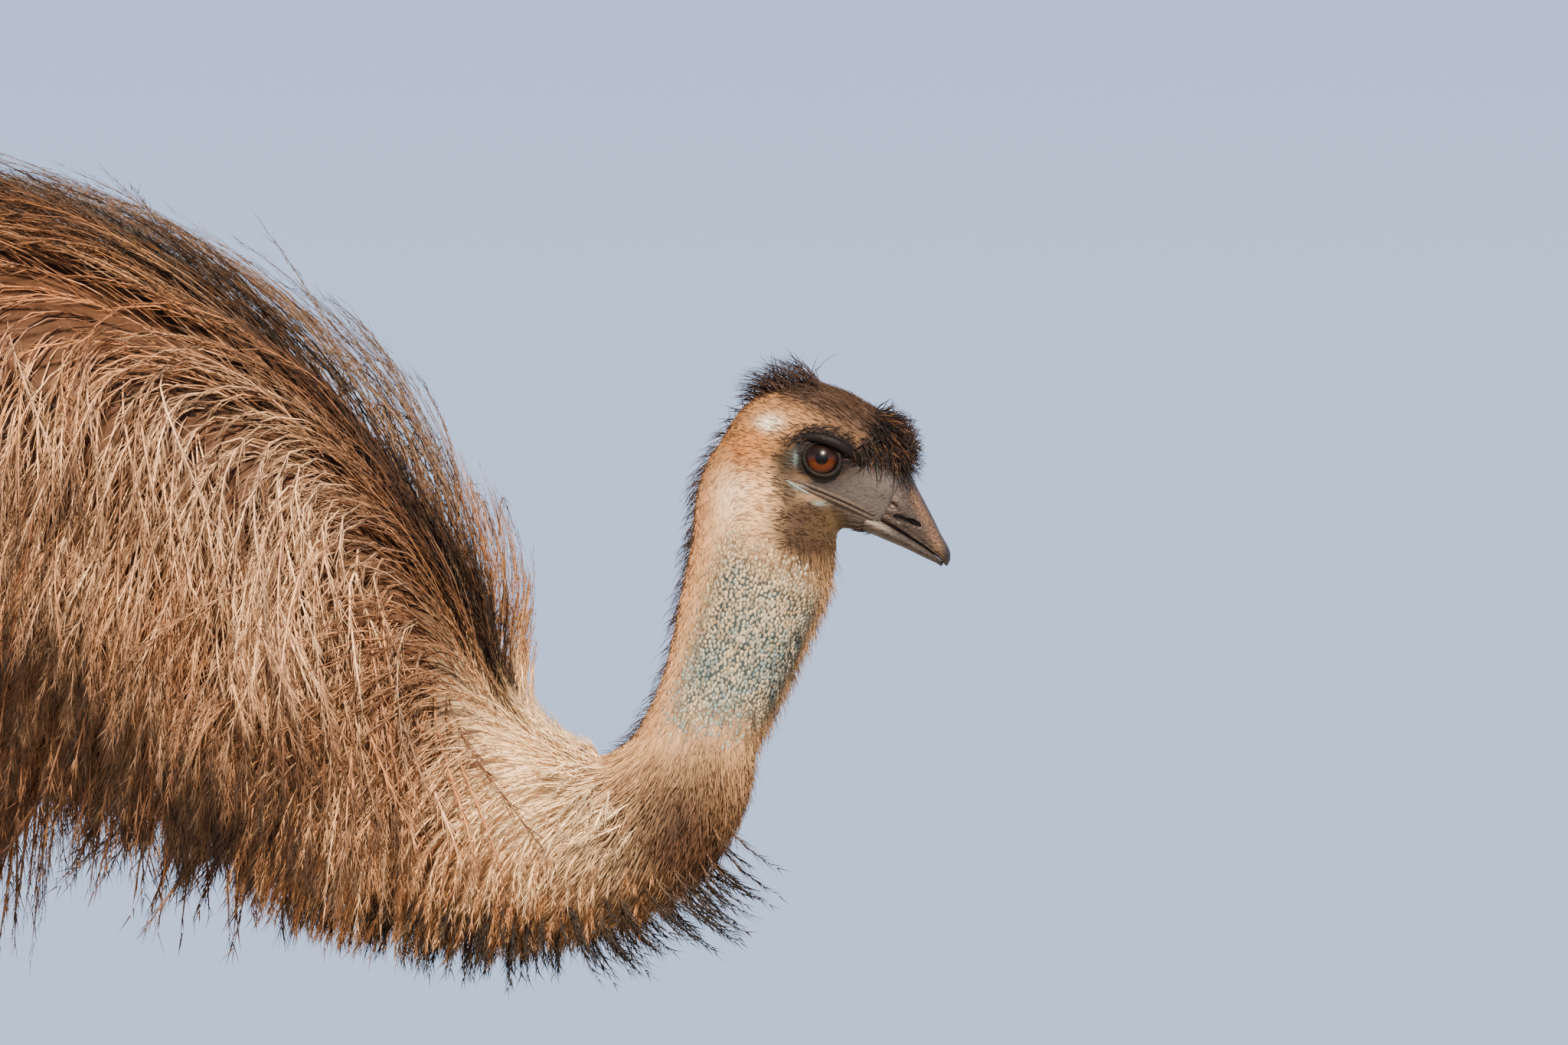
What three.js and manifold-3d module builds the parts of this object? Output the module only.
// An adult emu at life size, standing still with its neck held low and its head up.
// Millimetres. +X is forward, +Y is the bird's left and +Z is up. The neck and head turn a little left.

import * as THREE from "three";
import { mergeVertices } from "three/addons/utils/BufferGeometryUtils.js";
import Module from "manifold-3d";

const wasm = await Module();
wasm.setup();
const degrees = THREE.MathUtils.degToRad;

// Driving sizes

const GAP = 0.3; // space between pieces that meet
const EYE_HEIGHT = 835;
const EYE_FORWARD = 705; // measured along the bird's middle, which bends where the neck leaves the body
const NECK_ROOT = 490; // forward of the middle of the body, where the middle bends
const NECK_TURN = degrees(25);
const BILL_DIP = degrees(27.6); // below level
const BILL_TIP = 101; // forward of the eye, along the mouth line
const BILL_BASE = 50;
const EYEBALL = 13; // radius
const LEG_SPREAD = 82; // from the middle to each shank
const HOCK_HEIGHT = 408;
const TOE_LENGTH = 148; // of the middle toe, without its claw
const CORE_SHARE = 0.5; // how much of the coat's depth the solid under the locks takes up
const ROW_STEP = 96; // between rows of the body's locks

// One row for each station from the rump to the head: how far forward along the middle, the height, the
// half width, the half heights above and below the middle line, the share of the neck's turn, and the depth
// of the coat.
const TRUNK = [
  [-392, 856, 20, 18, 22, 0, 40],
  [-362, 860, 68, 60, 66, 0, 44],
  [-295, 868, 104, 88, 98, 0, 46],
  [-160, 870, 146, 132, 134, 0, 46],
  [0, 857, 156, 157, 146, 0, 45],
  [120, 836, 150, 162, 148, 0, 43],
  [238, 791, 130, 157, 136, 0, 45],
  [318, 743, 108, 142, 124, 0, 48],
  [382, 691, 90, 119, 104, 0, 48],
  [435, 643, 74, 97, 78, 0.2, 37],
  [484, 614, 62, 69, 60, 0.5, 23],
  [536, 600, 54, 54, 49, 0.85, 15],
  [576, 601, 48, 49, 45, 1, 13],
  [602, 616, 44, 44, 43, 1, 11],
  [620, 638, 41, 40, 39, 1, 8],
  [631, 666, 37, 35, 35, 1, 2],
  [644, 696, 37, 37, 37, 1, 0],
  [657, 733, 40, 42, 41, 1, 0],
  [668, 773, 41, 45, 45, 1, 0],
  [674, 812, 37, 46, 40, 1, 0],
  [686, 842, 28, 38, 26, 1, 0],
];
const LAST = TRUNK.length - 1;
const at = (station) => station / LAST; // where a station lies, from 0 at the rump to 1 at the head

// Where the trunk is parted, in stations
const TAIL_CUT = 2.15;
const BREAST_CUT = 9.3;
const NECK_CUTS = [11.3, 13.6, 16.2, 18.2];

const PARTING = 0.3; // half the angle over which the coat of the back is parted

// Colours

const finish = (color, roughness) => new THREE.MeshStandardMaterial({ color, roughness, metalness: 0 });
const PLUMAGE = finish("#7d5f45", 0.85);
const NECK_DOWN = finish("#b39a7c", 0.8);
const NECK_SKIN = finish("#9fb0ac", 0.6);
const HEAD_DOWN = finish("#5a4638", 0.8);
const HORN = finish("#4a403b", 0.45);
const EYE = finish("#8a3d10", 0.08);
const SCALE = finish("#6d6156", 0.6);
const CLAW = finish("#2c2622", 0.4);

// Draws that vary one lock from the next and come out the same each time.
function drawer(seed) {
  const span = 4294967296;
  let state = seed;
  return (low, high) => {
    state = (state * 1664525 + 1013904223) % span;
    return low + ((high - low) * state) / span;
  };
}

// Solids

// A closed geometry as a solid, turned outside out if its faces point in.
function solid(geometry) {
  const bare = new THREE.BufferGeometry();
  bare.setAttribute("position", geometry.getAttribute("position"));
  bare.setIndex(geometry.getIndex());
  const merged = mergeVertices(bare, 1e-3);
  const triVerts = new Uint32Array(merged.index.array);
  const vertProperties = new Float32Array(merged.attributes.position.array);
  const build = () => new wasm.Manifold(new wasm.Mesh({ numProp: 3, vertProperties, triVerts }));
  const made = build();
  if (made.volume() > 0) return made;
  for (let i = 0; i < triVerts.length; i += 3) {
    const kept = triVerts[i + 1];
    triVerts[i + 1] = triVerts[i + 2];
    triVerts[i + 2] = kept;
  }
  return build();
}

function join(solids) {
  return solids.reduce((whole, piece) => whole.add(piece));
}

function cut(whole, tools) {
  return tools.reduce((rest, tool) => rest.subtract(tool), whole);
}

// The largest closed surface, which drops what a cut has left loose.
function largest(whole) {
  const bodies = whole.decompose();
  return bodies.reduce((best, body) => (body.volume() > best.volume() ? body : best));
}

function node(name, whole, material) {
  const mesh = largest(whole).getMesh();
  const count = mesh.numVert;
  const places = new Float32Array(count * 3);
  for (let i = 0; i < count; i++) {
    places.set(mesh.vertProperties.subarray(i * mesh.numProp, i * mesh.numProp + 3), i * 3);
  }
  const geometry = new THREE.BufferGeometry();
  geometry.setAttribute("position", new THREE.BufferAttribute(places, 3));
  geometry.setIndex(new THREE.BufferAttribute(new Uint32Array(mesh.triVerts), 1));
  geometry.computeVertexNormals();
  const made = new THREE.Mesh(geometry, material);
  made.name = name;
  return made;
}

// Body forms

const smooth = (points) => new THREE.CatmullRomCurve3(points, false, "catmullrom", 0.5);

// A long form with an oval section: a middle line, a half width, half heights above and below it, and a
// turn about the upright. Share runs from 0 to 1 along it. Angle is from the top line, positive to the left.
function form(stations) {
  const line = smooth(stations.map((s) => s.at));
  const size = smooth(stations.map((s) => new THREE.Vector3(s.wide, s.above, s.below)));
  const other = smooth(stations.map((s) => new THREE.Vector3(s.turn ?? 0, s.coat ?? 0, 0)));
  const sectionShape = stations.sectionShape ?? (() => 1);
  const upright = stations.upright ?? false; // whether sections stand on edge where the line slopes

  function frame(share) {
    const middle = line.getPoint(share);
    const along = line.getTangent(share);
    const heading = other.getPoint(share).x;
    const left = new THREE.Vector3(-Math.sin(heading), Math.cos(heading), 0);
    const square = new THREE.Vector3().crossVectors(along, left).normalize();
    const top = upright ? new THREE.Vector3(0, 0, 1) : square;
    const span = size.getPoint(share);
    return { middle, along, left, top, wide: span.x, above: span.y, below: span.z };
  }

  function outward(share, angle) {
    const f = frame(share);
    const high = Math.cos(angle) > 0 ? f.above : f.below;
    const side = f.left.clone().multiplyScalar(Math.sin(angle) / f.wide);
    return side.addScaledVector(f.top, Math.cos(angle) / high).normalize();
  }

  function skin(share, angle, lift = 0) {
    const f = frame(share);
    const high = Math.cos(angle) > 0 ? f.above : f.below;
    const place = f.middle.clone();
    place.addScaledVector(f.left, Math.sin(angle) * f.wide * sectionShape(angle));
    place.addScaledVector(f.top, Math.cos(angle) * high);
    return lift === 0 ? place : place.addScaledVector(outward(share, angle), lift);
  }

  // The coat parts along the top line and is fullest at the sides.
  const depth = (share, angle) => {
    const parting = 1 - 0.55 * Math.exp(-((angle / PARTING) ** 2));
    return other.getPoint(share).y * parting * (1 + 0.22 * Math.abs(Math.sin(angle)));
  };
  const speed = (share) => line.getPoint(Math.min(1, share + 0.005))
    .distanceTo(line.getPoint(Math.max(0, share - 0.005))) / 0.01;
  return { line, frame, outward, skin, depth, speed };
}

// The closed solid of a form between two shares of its length, with the close part of its coat.
function shell(body, from, to, sides, rows, grow = 0) {
  const geometry = new THREE.CylinderGeometry(1, 1, 1, sides, rows);
  const place = geometry.getAttribute("position");
  for (let i = 0; i < place.count; i++) {
    const share = from + (to - from) * (0.5 + place.getY(i));
    const angle = Math.atan2(place.getX(i), place.getZ(i));
    const onAxis = Math.hypot(place.getX(i), place.getZ(i)) < 0.5;
    const lift = CORE_SHARE * body.depth(share, angle) + grow;
    const point = onAxis ? body.frame(share).middle : body.skin(share, angle, lift);
    place.setXYZ(i, point.x, point.y, point.z);
  }
  return solid(geometry);
}

// A share of a form's length that leaves the gap after a cut.
const past = (body, share) => share + GAP / body.speed(share);

// Locks of the coat

const DOWN = new THREE.Vector3(0, 0, -1);
const HANG_FROM = degrees(104); // past this angle from the back the body turns under and locks hang free

// The face of a lock that goes a given way, turned as near as can be to a given side.
const facing = (side, way) => side.clone().addScaledVector(way, -side.dot(way)).normalize();

// The path of a lock: out of the body, back over it, and down under its own weight.
function lie(body, share, angle, plan) {
  const side = Math.sign(angle) || 1;
  const stride = plan.length / plan.steps;
  const core = (at) => CORE_SHARE * body.depth(at.share, at.angle);
  const root = body.frame(share);
  const aside = root.left.clone().multiplyScalar(side);
  const out = body.outward(share, angle);
  let way = root.along.clone().multiplyScalar(plan.flow).addScaledVector(out, 0.6).normalize();
  let hanging = Math.abs(angle) > HANG_FROM;
  let here = { share, angle };
  const start = body.skin(share, angle, core(here) - plan.sink);
  const path = [{ place: start, out: facing(hanging ? aside : out, way) }];
  for (let step = 1; step <= plan.steps; step++) {
    const done = step / plan.steps;
    const last = path[path.length - 1];
    if (!hanging) {
      const slant = plan.slant(Math.abs(here.angle));
      const f = body.frame(here.share);
      const girth = (f.wide + f.above) / 2 + body.depth(here.share, here.angle);
      const nextShare = here.share + (plan.flow * stride * Math.cos(slant)) / body.speed(here.share);
      const nextAngle = here.angle + (side * stride * Math.sin(slant)) / girth;
      hanging = Math.abs(nextAngle) > HANG_FROM || nextShare < 0.01 || nextShare > 0.99;
      here = { share: THREE.MathUtils.clamp(nextShare, 0.01, 0.99), angle: nextAngle };
    }
    if (!hanging) {
      const lift = THREE.MathUtils.lerp(core(here), body.depth(here.share, here.angle), done);
      const place = body.skin(here.share, here.angle, lift + plan.curl * done);
      way = place.clone().sub(last.place).normalize();
      path.push({ place, out: facing(body.outward(here.share, here.angle), way) });
    } else {
      way.lerp(DOWN, plan.droop).addScaledVector(aside, plan.flare).normalize();
      const place = last.place.clone().addScaledVector(way, stride);
      path.push({ place, out: facing(last.out.clone().lerp(aside, 0.5), way) });
    }
  }
  return path;
}

// The solid of a lock: three-sided, with a raised rib outside, widest before its middle, and a point. A
// grown lock clears the plain one all round, and its thin edges and point reach out furthest.
function lock(path, wide, thick, grow = 0) {
  const steps = path.length - 1;
  const geometry = new THREE.ConeGeometry(1, 1, 3, steps);
  const place = geometry.getAttribute("position");
  const corner = (2 * Math.PI) / 3;
  for (let i = 0; i < place.count; i++) {
    const done = place.getY(i) + 0.5;
    const index = Math.min(steps, Math.round(done * steps));
    const { place: middle, out } = path[index];
    const before = path[Math.max(0, index - 1)].place;
    const after = path[Math.min(steps, index + 1)].place;
    const along = after.clone().sub(before).normalize();
    const across = new THREE.Vector3().crossVectors(along, out).normalize();
    const radius = Math.hypot(place.getX(i), place.getZ(i));
    const isTip = index === steps;
    const onAxis = radius < (1 - done) * 0.5 || isTip;
    const which = Math.round(Math.atan2(place.getX(i), place.getZ(i)) / corner);
    const swell = 0.6 + 0.4 * Math.sin(Math.PI * Math.min(1, done * 1.5));
    const breadth = (wide / 2) * swell * (1 - done ** 3);
    const high = thick * (1 - done * 0.7);
    const edge = breadth + (grow * (breadth + Math.hypot(breadth, high))) / high;
    const point = middle.clone();
    if (isTip) point.addScaledVector(along, grow * 6);
    else if (!onAxis && which === 0) point.addScaledVector(out, high + grow * 1.2);
    else if (!onAxis) point.addScaledVector(across, which * edge).addScaledVector(out, -grow);
    place.setXYZ(i, point.x, point.y, point.z);
  }
  return solid(geometry);
}

// Rows of locks over part of a form, on both sides, from the first angle of the plan to the last.
function coat(body, rows, plan, seed, grow = 0) {
  const draw = drawer(seed);
  const solids = [];
  const [first, last] = plan.angles;
  rows.forEach((share, row) => {
    const f = body.frame(share);
    const girth = (f.wide + f.above) / 2 + body.depth(share, Math.PI / 2);
    const columns = Math.max(2, Math.round(((last - first) * girth) / plan.spacing));
    const step = (last - first) / columns;
    for (const side of [-1, 1]) {
      for (let column = 0; column < columns; column++) {
        const angle = first + step * (column + (row % 2 ? 0.75 : 0.25) + draw(-0.12, 0.12));
        if (plan.skip?.(share, angle)) continue;
        const fullness = Math.min(1, body.depth(share, Math.PI / 2) / plan.depth);
        const own = {
          ...plan,
          length: plan.length * plan.reach(angle) * fullness * draw(0.85, 1.12),
          curl: plan.depth * draw(-0.12, 0.16),
          flare: draw(0, 0.12),
        };
        const path = lie(body, share + draw(-0.18, 0.18) / LAST, side * angle, own);
        solids.push(lock(path, plan.wide * draw(0.85, 1.12), plan.thick, grow));
      }
    }
  });
  return solids;
}

// The trunk, from the rump to the head

function middlePoint(forward, height) {
  const reach = Math.max(0, forward - NECK_ROOT);
  const straight = Math.min(forward, NECK_ROOT);
  return new THREE.Vector3(straight + reach * Math.cos(NECK_TURN), reach * Math.sin(NECK_TURN), height);
}

const trunk = form(
  TRUNK.map(([forward, height, wide, above, below, turn, coatDepth]) => ({
    at: middlePoint(forward, height),
    wide,
    above,
    below,
    turn: turn * NECK_TURN,
    coat: coatDepth,
  })),
);

// Shares of a form a given distance apart, within two shares of it
function rowsBetween(body, from, to, distance) {
  const rows = [];
  for (let share = from; share <= to; share += distance / body.speed(share)) rows.push(share);
  return rows;
}

// Legs

const legForm = (side, stride) => {
  const post = (forward, height, wide, front, back, out, coatDepth = 0) => ({
    at: new THREE.Vector3(forward + stride, side * (LEG_SPREAD + out), height),
    wide,
    above: front,
    below: back,
    coat: coatDepth,
  });
  return form([
    post(78, 800, 40, 60, 60, -14, 18),
    post(66, 725, 52, 74, 74, 8, 18),
    post(42, 650, 54, 72, 70, 14, 18),
    post(6, 578, 46, 56, 54, 11, 16),
    post(-34, 510, 36, 44, 40, 6, 12),
    post(-66, 447, 25, 28, 27, 1, 5),
    post(-76, HOCK_HEIGHT, 24, 27, 27, 0),
    post(-72, 368, 19, 21, 22, 0),
    post(-58, 290, 15, 17, 18, 0),
    post(-40, 200, 15, 17, 18, 0),
    post(-22, 110, 18, 18, 18, 0),
    post(-8, 55, 22, 21, 20, 0),
    post(0, 28, 24, 24, 22, 0),
    post(6, -10, 24, 28, 24, 0),
  ]);
};
const LEG_LAST = 13;
const THIGH_END = 5.6 / LEG_LAST;
const SHANK_END = 10.7 / LEG_LAST;

const floorBlock = solid(new THREE.BoxGeometry(3000, 3000, 200).translate(0, 0, -100));

// One toe from the hub to its claw, as a form.
function toeForm(root, spreadAngle, length, thick) {
  const ahead = new THREE.Vector3(Math.cos(spreadAngle), Math.sin(spreadAngle), 0);
  const knuckle = (share, scale, height) => ({
    at: root.clone().addScaledVector(ahead, share * length).setZ(height),
    wide: thick * scale,
    above: thick * scale * 0.92,
    below: thick * scale * 0.92,
    turn: spreadAngle,
  });
  const knuckles = [
    knuckle(-0.08, 0.95, 17),
    knuckle(0.2, 1, 14),
    knuckle(0.34, 0.84, 11.5),
    knuckle(0.52, 0.94, 12),
    knuckle(0.66, 0.74, 9.5),
    knuckle(0.84, 0.8, 9.5),
    knuckle(1, 0.56, 7.5),
  ];
  return form(Object.assign(knuckles, { upright: true }));
}

// A claw, blunt and a little curved, that follows a toe.
function clawSolid(root, spreadAngle, length, thick) {
  const ahead = new THREE.Vector3(Math.cos(spreadAngle), Math.sin(spreadAngle), 0);
  const stations = [
    [GAP, 1, 7.5],
    [9, 0.9, 7.6],
    [18, 0.66, 6],
    [26, 0.3, 2.9],
  ].map(([reach, scale, height]) => ({
    at: root.clone().addScaledVector(ahead, length + reach).setZ(height),
    wide: thick * 0.5 * scale,
    above: thick * 0.5 * scale,
    below: thick * 0.42 * scale,
    turn: spreadAngle,
  }));
  const claw = form(Object.assign(stations, { upright: true }));
  return cut(shell(claw, 0, 1, 8, 3), [floorBlock]);
}

const TOES = [
  { name: "middle", angle: 0, length: TOE_LENGTH, thick: 15 },
  { name: "inner", angle: -1, length: TOE_LENGTH * 0.62, thick: 12.5 },
  { name: "outer", angle: 1, length: TOE_LENGTH * 0.66, thick: 12.5 },
];
const TOE_SPREAD = degrees(31);

const THIGH_PLAN = {
  steps: 4,
  length: 96,
  wide: 50,
  spacing: 66,
  thick: 5,
  depth: 16,
  sink: 8,
  flow: 1,
  droop: 0.5,
  angles: [0, Math.PI],
  reach: () => 1,
  slant: () => 0.1,
};

function leg(name, side, stride, torsoClear) {
  const body = legForm(side, stride);
  const rows = rowsBetween(body, 2.7 / LEG_LAST, 4.6 / LEG_LAST, 62);
  const locks = coat(body, rows, THIGH_PLAN, side > 0 ? 41 : 57);
  const shankShell = (grow) => shell(body, past(body, THIGH_END), SHANK_END, 12, 16, grow);
  const thighShell = shell(body, 0, THIGH_END, 14, 10);
  const thigh = cut(join([thighShell, ...locks]), [torsoClear, shankShell(GAP * 2)]);
  const shank = shankShell(0);
  const hub = body.line.getPoint(1);
  const toes = TOES.map((toe) => toeForm(hub, toe.angle * side * TOE_SPREAD, toe.length, toe.thick));
  const solids = toes.map((toe) => shell(toe, 0, 1, 8, 7));
  const foot = cut(join([shell(body, past(body, SHANK_END), 1, 12, 5), ...solids]), [floorBlock]);
  const claws = TOES.map((toe) =>
    node(
      `claw_${name}_${toe.name}`,
      clawSolid(hub, toe.angle * side * TOE_SPREAD, toe.length, toe.thick),
      CLAW,
    ),
  );
  return [
    node(`thigh_${name}`, thigh, PLUMAGE),
    node(`shank_${name}`, shank, SCALE),
    node(`foot_${name}`, foot, SCALE),
    ...claws,
  ];
}

// The head, in its own frame: X along the mouth line to the tip of the bill, Y left and Z up from it.

const headFrame = (() => {
  const ahead = new THREE.Vector3(Math.cos(NECK_TURN), Math.sin(NECK_TURN), 0);
  const along = ahead.clone().multiplyScalar(Math.cos(BILL_DIP)).setZ(-Math.sin(BILL_DIP));
  const top = ahead.clone().multiplyScalar(Math.sin(BILL_DIP)).setZ(Math.cos(BILL_DIP));
  const left = new THREE.Vector3(-Math.sin(NECK_TURN), Math.cos(NECK_TURN), 0);
  const matrix = new THREE.Matrix4().makeBasis(along, left, top);
  return matrix.setPosition(middlePoint(EYE_FORWARD, EYE_HEIGHT));
})();
const inHead = (whole) => whole.transform(headFrame.elements);

// Forward of the eye, top, bottom, half width
const SKULL = [
  [-60, -4, -22, 9],
  [-55, 14, -36, 20],
  [-42, 29, -41, 30],
  [-26, 40, -41, 35],
  [-8, 44, -38, 36],
  [10, 44, -35, 33],
  [26, 42, -33, 28],
  [38, 38, -30.5, 24],
  [46, 30, -28.5, 21],
  [BILL_BASE, 22, -27, 19],
];
const UPPER_BILL = [
  [BILL_BASE + GAP, 20, -18, 18],
  [60, 13, -18.4, 16.6],
  [70, 6, -19, 14.6],
  [80, -1, -19.6, 12.4],
  [88, -7, -20.4, 10.2],
  [95, -11.5, -21.6, 7.6],
  [99, -15, -23, 5],
  [BILL_TIP, -19, -23.4, 2],
];
const LOWER_BILL = [
  [BILL_BASE + GAP, -18.4, -26.5, 16.4],
  [60, -18.8, -25, 15],
  [72, -19.6, -23.8, 12.6],
  [86, -20.6, -24.2, 9.2],
  [94, -21.9, -24.8, 5.4],
  [97, -23, -25.2, 2.4],
];

function headForm(stations, centreShare, sectionShape, coatDepth = 0) {
  const posts = stations.map(([forward, top, bottom, wide]) => {
    const middle = bottom + (top - bottom) * centreShare;
    return {
      at: new THREE.Vector3(forward, 0, middle),
      wide,
      above: top - middle,
      below: middle - bottom,
      coat: coatDepth,
    };
  });
  return form(Object.assign(posts, { sectionShape, upright: true }));
}

const EYE_PLACE = new THREE.Vector3(0, 27, 0);
const eyeSolid = (side, grow = 0) =>
  solid(
    new THREE.SphereGeometry(EYEBALL + grow, 12, 8)
      .rotateX(Math.PI / 2)
      .translate(EYE_PLACE.x, side * EYE_PLACE.y, EYE_PLACE.z),
  );

// The lids: a ring round the eye, and a brow ridge over it.
function lids(side) {
  const ring = new THREE.TorusGeometry(11.4, 2.1, 5, 14).scale(1.06, 0.9, 1).rotateX(Math.PI / 2);
  ring.rotateZ(side * -0.06).translate(0, side * 34.2, 0);
  const brow = new THREE.SphereGeometry(1, 10, 6).scale(19, 6, 5).rotateY(0.12);
  brow.translate(3, side * 29, 14.5);
  return [solid(ring), solid(brow)];
}

// The line of the mouth, cut into the cheek behind the bill.
function mouthLine(side) {
  const line = new THREE.BoxGeometry(58, 12, 1.4).rotateY(degrees(-3)).rotateZ(side * -0.2);
  return solid(line.translate(22, side * 30.5, -20));
}

function nostril(side) {
  const slit = new THREE.SphereGeometry(1, 10, 6).scale(9, 6, 1.9).rotateY(degrees(-9));
  return solid(slit.translate(66, side * 13, -9));
}

function earCup(side) {
  return solid(new THREE.SphereGeometry(1, 8, 6).scale(4.5, 5, 6).translate(-44, side * 31.5, -20));
}

const CREST_PLAN = {
  steps: 4,
  length: 26,
  wide: 15,
  spacing: 20,
  thick: 2,
  depth: 10,
  sink: 14,
  flow: -1,
  droop: 0.1,
  angles: [0, 0.9],
  reach: () => 1,
  slant: () => 0.3,
};

function headNodes(neckTop) {
  const skull = headForm(SKULL, 0.5, () => 1);
  const crown = headForm(SKULL, 0.5, () => 1, CREST_PLAN.depth);
  const crest = coat(crown, rowsBetween(crown, 0.36, 0.86, 26), CREST_PLAN, 5).map(inHead);
  const sides = [-1, 1];
  const raw = [shell(skull, 0, 1, 18, 14), ...sides.flatMap(lids)].map(inHead);
  const stub = shell(trunk, past(trunk, at(NECK_CUTS[3])), 1, 18, 4);
  const tools = sides.flatMap((side) => [eyeSolid(side, GAP), mouthLine(side), earCup(side)]).map(inHead);
  const head = cut(join([...raw, stub, ...crest]), [...tools, neckTop]);
  const keel = (angle) => 1 - 0.34 * Math.max(0, Math.cos(angle));
  const upper = cut(shell(headForm(UPPER_BILL, 0.3, keel), 0, 1, 12, 9), sides.map(nostril));
  const lower = shell(headForm(LOWER_BILL, 0.7, () => 1), 0, 1, 12, 6);
  return [
    node("head", head, HEAD_DOWN),
    node("bill_upper", inHead(upper), HORN),
    node("bill_lower", inHead(lower), HORN),
    node("eye_left", inHead(eyeSolid(1)), EYE),
    node("eye_right", inHead(eyeSolid(-1)), EYE),
  ];
}

// The whole bird

const blend = (angle, from, to, first, last) =>
  THREE.MathUtils.mapLinear(THREE.MathUtils.clamp(angle, from, to), from, to, first, last);

// Near the top line the feathers lie back, and down the side they turn to hang. Those of the underside are
// shorter, and none root where the thighs come out.
const bodySlant = (angle) => blend(angle, 0, 1.3, 0.35, 1.35);
const shorterBelow = (angle) => blend(angle, 1, 2.1, 1, 0.56);
const overLeg = (share, angle) => angle > 1.75 && share > at(3.8) && share < at(5.7);
const BODY_PLAN = {
  skip: overLeg,
  steps: 5,
  length: 190,
  wide: 80,
  spacing: 88,
  thick: 8,
  depth: 45,
  sink: 14,
  flow: -1,
  droop: 0.45,
  angles: [0.02, 2.5],
  reach: shorterBelow,
  slant: bodySlant,
};
const TAIL_PLAN = { ...BODY_PLAN, length: 200, wide: 70, spacing: 108, droop: 0.42 };
const NECK_PLAN = {
  steps: 4,
  length: 64,
  wide: 42,
  spacing: 60,
  thick: 4,
  depth: 16,
  sink: 8,
  flow: -1,
  droop: 0.4,
  angles: [0, Math.PI],
  reach: shorterBelow,
  slant: (angle) => blend(angle, 0, 1.5, 0.25, 0.78),
};

function bird() {
  const piece = (from, to, sides, rows) => {
    const start = from === 0 ? 0 : past(trunk, at(from));
    return (grow = 0) => shell(trunk, start, at(to), sides, rows, grow);
  };
  const torsoCore = piece(TAIL_CUT, BREAST_CUT, 20, 14);
  const tailCore = piece(0, TAIL_CUT, 20, 6);
  const baseCore = piece(BREAST_CUT, NECK_CUTS[0], 18, 5);
  const lowCore = piece(NECK_CUTS[0], NECK_CUTS[1], 18, 6);
  const middleCore = piece(NECK_CUTS[1], NECK_CUTS[2], 18, 7);
  const topCore = piece(NECK_CUTS[2], NECK_CUTS[3], 18, 7);

  const bodyRows = rowsBetween(trunk, at(TAIL_CUT + 0.3), at(BREAST_CUT - 0.4), ROW_STEP);
  const baseRows = rowsBetween(trunk, at(BREAST_CUT + 0.3), at(NECK_CUTS[0] - 0.2), 46);
  const lowRows = rowsBetween(trunk, at(NECK_CUTS[0] + 0.3), at(NECK_CUTS[1] - 0.15), 42);
  const tailRows = [at(0.7), at(1.5)];
  const bodyLocks = (grow) => coat(trunk, bodyRows, BODY_PLAN, 11, grow);
  const baseLocks = (grow) => coat(trunk, baseRows, NECK_PLAN, 23, grow);
  const lowLocks = (grow) => coat(trunk, lowRows, NECK_PLAN, 31, grow);
  const tailLocks = coat(trunk, tailRows, TAIL_PLAN, 17);

  const torsoClear = join([torsoCore(GAP), ...bodyLocks(GAP)]);
  const baseClear = join([baseCore(GAP), ...baseLocks(GAP)]);
  const torso = cut(join([torsoCore(), ...bodyLocks(0)]), [tailCore(GAP), baseCore(GAP)]);
  const tail = cut(join([tailCore(), ...tailLocks]), [torsoClear]);
  const base = cut(join([baseCore(), ...baseLocks(0)]), [torsoClear, lowCore(GAP)]);
  const low = cut(join([lowCore(), ...lowLocks(0)]), [baseClear, middleCore(GAP), torsoClear]);

  const group = new THREE.Group();
  group.add(node("torso", torso, PLUMAGE), node("tail", tail, PLUMAGE));
  group.add(node("neck_base", base, NECK_DOWN), node("neck_low", low, NECK_DOWN));
  group.add(node("neck_middle", middleCore(), NECK_SKIN), node("neck_top", topCore(), NECK_SKIN));
  group.add(...headNodes(topCore(GAP)));
  group.add(...leg("left", 1, 22, torsoClear), ...leg("right", -1, -22, torsoClear));
  return group;
}

// The origin is on the floor, under the middle of the bird's outer sizes.
const emu = bird();
const box = new THREE.Box3().setFromObject(emu);
emu.position.set(-(box.min.x + box.max.x) / 2, -(box.min.y + box.max.y) / 2, -box.min.z);

export default emu;
